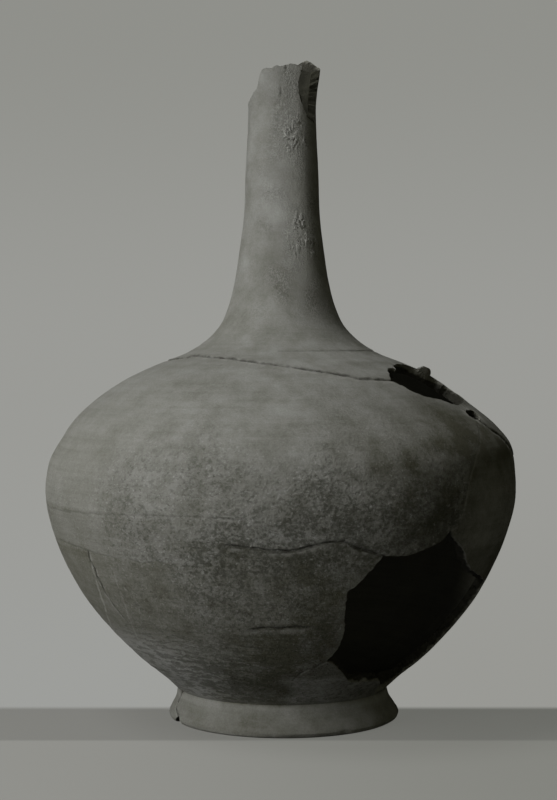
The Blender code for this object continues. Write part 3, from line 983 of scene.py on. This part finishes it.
class JarSizes(bpy.types.PropertyGroup):
    """Wall and foot sizes that a user may change."""

    wall: FloatProperty(
        name="Wall", description="Thickness of the body's wall", default=4.8 * MM,
        min=2 * MM, max=9 * MM, unit="LENGTH",
    )
    neck_wall: FloatProperty(
        name="Neck wall", description="Thickness of the neck's wall", default=4.2 * MM,
        min=2 * MM, max=6 * MM, unit="LENGTH",
    )
    floor_top: FloatProperty(
        name="Floor", description="Height of the inside floor over the ground",
        default=17 * MM, min=12 * MM, max=22 * MM, unit="LENGTH",
    )
    ring_width: FloatProperty(
        name="Foot ring", description="Width of the ring that the jar stands on",
        default=7.5 * MM, min=4 * MM, max=14 * MM, unit="LENGTH",
    )
    recess: FloatProperty(
        name="Foot recess", description="Depth of the hollow under the foot",
        default=9.6 * MM, min=2 * MM, max=12 * MM, unit="LENGTH",
    )
    relief: FloatProperty(
        name="Relief", description="Strength of throwing marks, pits and scars",
        default=1.0, min=0.0, max=2.0, subtype="FACTOR",
    )


class JarColours(bpy.types.PropertyGroup):
    """Colours of the fired clay and of what has settled on it."""

    light: FloatVectorProperty(
        name="Light clay", description="Clay where it is palest", subtype="COLOR", size=4,
        default=(0.41, 0.413, 0.392, 1), min=0, max=1,
    )
    dark: FloatVectorProperty(
        name="Dark clay", description="Clay where it is stained", subtype="COLOR", size=4,
        default=(0.1, 0.0985, 0.071, 1), min=0, max=1,
    )
    fracture: FloatVectorProperty(
        name="Fresh break", description="Clay on the broken edges", subtype="COLOR", size=4,
        default=(0.4, 0.397, 0.35, 1), min=0, max=1,
    )
    inner: FloatVectorProperty(
        name="Inside", description="Stained clay inside the jar", subtype="COLOR", size=4,
        default=(0.14, 0.138, 0.1, 1), min=0, max=1,
    )
    lime: FloatVectorProperty(
        name="Lime", description="Crust on the neck", subtype="COLOR", size=4,
        default=(0.68, 0.68, 0.64, 1), min=0, max=1,
    )
    # Also the colour of the painted shade in the lime crust's hollows
    dirt: FloatVectorProperty(
        name="Dirt", description="Soil left in the cracks", subtype="COLOR", size=4,
        default=(0.03, 0.028, 0.022, 1), min=0, max=1,
    )


class JAR_OT_wall(bpy.types.Operator):
    """Turn the jar's wall, wear its surface and break the lost sherds out of it"""

    bl_idname = "jar.wall"
    bl_label = "Jar wall"

    def execute(self, context):
        sizes, colours = context.scene.jar_sizes, context.scene.jar_colours
        group = fired_clay_group()
        light, dark, fracture, inner, lime, dirt = (
            tuple(getattr(colours, name))
            for name in ("light", "dark", "fracture", "inner", "lime", "dirt")
        )
        marks = {"lime": lime, "zone": PALE_AND_HIGHLIGHT, "dirt": dirt}
        coat = (light, dark, 1.0, 0.5, 0.35, 0.65 * MM)
        outside = clay_material("weathered_clay", group, coat, marks)
        lining = (inner, INSIDE_DARK, 1.0, 0.3, 1.0, 0.5 * MM)
        inside = clay_material("inner_clay", group, lining, None)
        body = (fracture, dark, 1.3, 0.5, 0.0, 1.1 * MM)
        broken = clay_material("broken_clay", group, body, None)

        bm = bmesh.new()
        turn_shell(bm, outer_section(sizes.ring_width, sizes.recess), OUTER_SIDES, 0)
        section = inner_section(sizes.neck_wall, sizes.wall, sizes.floor_top)
        turn_shell(bm, section, INNER_SIDES, 1)
        bmesh.ops.remove_doubles(bm, verts=bm.verts, dist=0.01 * MM)
        bmesh.ops.bridge_loops(bm, edges=[edge for edge in bm.edges if edge.is_boundary])
        bmesh.ops.recalc_face_normals(bm, faces=bm.faces)
        for vert in bm.verts:
            vert.co.x += lean(vert.co.z)

        lines = crack_lines()
        wide_scars = [(at, up, 1.3 * wide, 1.3 * tall) for at, up, wide, tall, depth in SCARS]

        def by_cracks(reach, faint=-1.0):
            return lambda points: np.any(
                [distance_to(points, line)[0] < reach for *_, tone, line in lines if tone > faint],
                axis=0,
            )

        def by_marks(marked):
            return lambda points: np.any([patch(points, *mark) > 0.001 for mark in marked], axis=0)

        refine(bm, by_cracks(4.0 * MM))
        refine(bm, by_cracks(2.0 * MM))
        refine(bm, by_cracks(1.1 * MM, 0.5))
        refine(bm, by_marks(CRUSTS + wide_scars))
        refine(bm, by_marks(CRUSTS), upright=True)
        jar = make_object("jar_wall", bm, [outside, inside])

        cutters = [
            # The notch's broken faces take the dark inside clay, as painted shade
            sherd_cutter("neck_notch", NECK_NOTCH, NECK_HUB, 0.5, 1.7, 3, inside),
            rim_cutter("broken_rim", broken),
            sherd_cutter("shoulder_gap", SHOULDER_GAP, SHOULDER_HUB, 0.86, 1.15, 5, broken),
            sherd_cutter("pinhole", SHOULDER_PINHOLE, SHOULDER_HUB, 0.88, 1.1, 7, broken),
            sherd_cutter("large_hole", LARGE_HOLE, BELLY_HUB, 0.8, 1.28, 11, broken),
            wedge_cutter("foot_chip", *FOOT_CHIP, inside),
        ]
        cut_away(jar, cutters)
        mesh = jar.data
        wear(mesh, sizes.relief)
        mesh.shade_smooth()
        mesh.set_sharp_from_angle(angle=math.radians(38))
        stain_masks(mesh)
        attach(jar, "root")
        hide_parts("jar")
        return {"FINISHED"}


class JAR_OT_stage(bpy.types.Operator):
    """Lay a pale floor, light it softly from the upper left and set the camera"""

    bl_idname = "jar.stage"
    bl_label = "Stage"

    def execute(self, context):
        scene = context.scene
        scene.view_settings.view_transform = "Standard"
        self.floor()
        self.world(scene)
        for light in LIGHTS:
            self.lamp(*light)
        camera = bpy.data.cameras.new("camera")
        camera.sensor_width = 36
        camera.lens = CAMERA_LENS
        camera.shift_y = CAMERA_SHIFT
        holder = bpy.data.objects.new("camera", camera)
        holder.location = CAMERA_PLACE
        holder.rotation_euler = (math.radians(90), 0, 0)
        scene.collection.objects.link(holder)
        scene.camera = holder
        return {"FINISHED"}

    @staticmethod
    def lamp(name, azimuth, elevation, distance, size, power, colour, aim):
        """A round soft light that faces its aim and isn't seen itself."""
        azimuth, elevation = math.radians(azimuth), math.radians(elevation)
        light = bpy.data.lights.new(name, "AREA")
        light.shape = "DISK"
        light.size = size
        light.energy = power
        light.color = colour
        lamp = bpy.data.objects.new(name, light)
        aim = Vector(aim)
        back = Vector((
            math.cos(azimuth) * math.cos(elevation),
            math.sin(azimuth) * math.cos(elevation),
            math.sin(elevation),
        ))
        lamp.location = aim + back * distance
        lamp.rotation_mode = "QUATERNION"
        lamp.rotation_quaternion = back.to_track_quat("Z", "Y")
        lamp.visible_camera = False
        bpy.context.scene.collection.objects.link(lamp)

    @staticmethod
    def shade(tree, across, left, right):
        """A glow for camera rays alone, from the left side to the right; the lighter left is
        painted light.
        """
        colour = tree.mix(across, left, right)
        seen = tree.add("ShaderNodeLightPath").outputs["Is Camera Ray"]
        return tree.add("ShaderNodeEmission", {"Color": colour, "Strength": seen}).outputs[0]

    def floor(self):
        """A board with a paler front edge, and pale paper behind it, glowing for the camera with
        painted light that is lighter on the left.
        """
        bm = bmesh.new()
        bmesh.ops.create_circle(bm, cap_ends=True, radius=9.0, segments=96)
        material = bpy.data.materials.new("pale_floor")
        material.use_nodes = True
        tree = Tree(material.node_tree)
        material.node_tree.nodes.clear()
        place = tree.add("ShaderNodeTexCoord").outputs["Object"]
        spot = tree.add("ShaderNodeSeparateXYZ", {0: place})
        across = tree.ramp(spot.outputs["X"], -0.12, 0.12)
        behind = tree.ramp(spot.outputs["Y"], 0.0085, 0.0195)
        before = tree.ramp(spot.outputs["Y"], -0.0585, -0.0635)
        board = self.shade(tree, across, *((*colour, 1) for colour in BOARD))
        front = self.shade(tree, across, *((*colour, 1) for colour in FRONT))
        away = tree.math("DIVIDE", 1.0, tree.math("SUBTRACT", spot.outputs["Y"], CAMERA_PLACE[1]))
        close = tree.ramp(away, 0.1, 1.12)
        left, right = (tree.mix(close, SKY[0], (*colour, 1)) for colour in PAPER)
        paper = self.shade(tree, across, left, right)
        near = tree.add("ShaderNodeMixShader", {0: before, 1: board, 2: front}).outputs[0]
        wood = tree.add("ShaderNodeBsdfDiffuse", {"Color": WOOD})
        near = tree.add("ShaderNodeAddShader", {0: near, 1: wood.outputs[0]}).outputs[0]
        mixed = tree.add("ShaderNodeMixShader", {0: behind, 1: near, 2: paper})
        tree.add("ShaderNodeOutputMaterial", {"Surface": mixed.outputs[0]})
        make_object("floor", bm, [material])

    @staticmethod
    def world(scene):
        """Pale paper to the camera, and a dim even room to everything else."""
        world = bpy.data.worlds.new("studio")
        world.use_nodes = True
        tree = Tree(world.node_tree)
        world.node_tree.nodes.clear()
        towards = tree.add("ShaderNodeTexCoord").outputs["Generated"]
        rise = tree.add("ShaderNodeSeparateXYZ", {0: towards}).outputs["Z"]
        backdrop = tree.mix(tree.ramp(rise, 0.0, 0.2), SKY[0], SKY[1])
        seen = tree.add("ShaderNodeLightPath").outputs["Is Camera Ray"]
        paper = tree.add("ShaderNodeBackground", {"Color": backdrop})
        room = tree.add("ShaderNodeBackground", {"Color": ROOM})
        mixed = tree.add("ShaderNodeMixShader", {0: seen, 1: room.outputs[0], 2: paper.outputs[0]})
        tree.add("ShaderNodeOutputWorld", {"Surface": mixed.outputs[0]})
        scene.world = world


class JAR_PT_panel(bpy.types.Panel):
    """Lists the jar's sizes, colours and steps"""

    bl_idname = "JAR_PT_panel"
    bl_label = "Pottery jar"
    bl_space_type = "VIEW_3D"
    bl_region_type = "UI"
    bl_category = "Jar"

    def draw(self, context):
        for group in (context.scene.jar_sizes, context.scene.jar_colours):
            for name in group.__annotations__:
                self.layout.prop(group, name)
        for operator in (JAR_OT_wall, JAR_OT_stage):
            self.layout.operator(operator.bl_idname)


CLASSES = (JarSizes, JarColours, JAR_OT_wall, JAR_OT_stage, JAR_PT_panel)


def register():
    for cls in CLASSES:
        bpy.utils.register_class(cls)
    bpy.types.Scene.jar_sizes = PointerProperty(type=JarSizes)
    bpy.types.Scene.jar_colours = PointerProperty(type=JarColours)


def unregister():
    del bpy.types.Scene.jar_sizes
    del bpy.types.Scene.jar_colours
    for cls in reversed(CLASSES):
        bpy.utils.unregister_class(cls)


def main():
    register()
    bpy.ops.jar.wall()
    bpy.ops.jar.stage()


if __name__ == "__main__":
    main()
